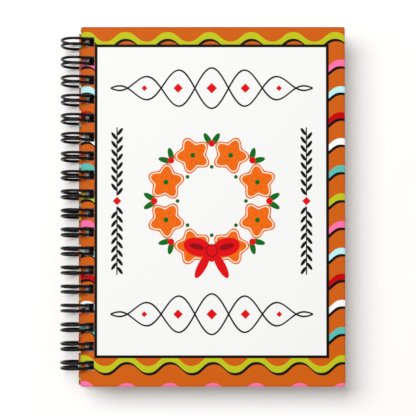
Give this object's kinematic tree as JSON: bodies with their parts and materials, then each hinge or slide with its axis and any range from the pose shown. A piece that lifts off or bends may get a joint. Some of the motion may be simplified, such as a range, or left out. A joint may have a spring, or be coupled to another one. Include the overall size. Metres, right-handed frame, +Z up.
{
  "type": "gift card book",
  "caption": "Wire-bound book of card pockets: laminated board covers and card leaves swing on a black twin-loop wire, and each leaf has a taped pocket with a thumb notch for a gift card.",
  "frame": {"origin": "under the middle of the whole closed book, on the surface that its loops rest on", "axes": "+Z up out of the front cover, +X from the wire to the fore-edge, +Y to the head of the book"},
  "size_m": [0.127, 0.16, 0.0156],
  "materials": {
    "wire": "gloss",
    "cover_print": "satin",
    "cover_board": "matte",
    "cover_liner": "matte",
    "page": "matte",
    "pocket_panel": "matte",
    "pocket_tape": "matte"
  },
  "bodies": {
    "back_cover": {"binding_wire": "wire", "back_cover_print": "cover_print", "back_cover_board": "cover_board", "back_cover_liner": "cover_liner"},
    "front_cover": {"front_cover_print": "cover_print", "front_cover_board": "cover_board", "front_cover_liner": "cover_liner"},
    "leaf_1": {"page_1": "page", "pocket_tape_1": "pocket_tape", "pocket_panel_1": "pocket_panel"},
    "leaf_2": {"page_2": "page", "pocket_tape_2": "pocket_tape", "pocket_panel_2": "pocket_panel"},
    "leaf_3": {"page_3": "page", "pocket_tape_3": "pocket_tape", "pocket_panel_3": "pocket_panel"},
    "leaf_4": {"page_4": "page", "pocket_tape_4": "pocket_tape", "pocket_panel_4": "pocket_panel"},
    "leaf_5": {"page_5": "page", "pocket_tape_5": "pocket_tape", "pocket_panel_5": "pocket_panel"}
  },
  "joints": [
    {"name": "front_cover_hinge", "type": "hinge", "parent": "back_cover", "child": "front_cover", "pos_m": [-0.05569, 0, 0.00779], "axis": [0, -1, 0], "range_deg": [0, 180]},
    {"name": "leaf_1_hinge", "type": "hinge", "parent": "back_cover", "child": "leaf_1", "pos_m": [-0.05569, 0, 0.00779], "axis": [0, -1, 0], "range_deg": [0, 150]},
    {"name": "leaf_2_hinge", "type": "hinge", "parent": "back_cover", "child": "leaf_2", "pos_m": [-0.05569, 0, 0.00779], "axis": [0, -1, 0], "range_deg": [0, 120]},
    {"name": "leaf_3_hinge", "type": "hinge", "parent": "back_cover", "child": "leaf_3", "pos_m": [-0.05569, 0, 0.00779], "axis": [0, -1, 0], "range_deg": [0, 90]},
    {"name": "leaf_4_hinge", "type": "hinge", "parent": "back_cover", "child": "leaf_4", "pos_m": [-0.05569, 0, 0.00779], "axis": [0, -1, 0], "range_deg": [0, 60]},
    {"name": "leaf_5_hinge", "type": "hinge", "parent": "back_cover", "child": "leaf_5", "pos_m": [-0.05569, 0, 0.00779], "axis": [0, -1, 0], "range_deg": [0, 30]}
  ],
  "couplings": [
    {"joint": "leaf_1_hinge", "follows": "front_cover_hinge", "ratio": 0.83333},
    {"joint": "leaf_2_hinge", "follows": "front_cover_hinge", "ratio": 0.66667},
    {"joint": "leaf_3_hinge", "follows": "front_cover_hinge", "ratio": 0.5},
    {"joint": "leaf_4_hinge", "follows": "front_cover_hinge", "ratio": 0.33333},
    {"joint": "leaf_5_hinge", "follows": "front_cover_hinge", "ratio": 0.16667}
  ]
}
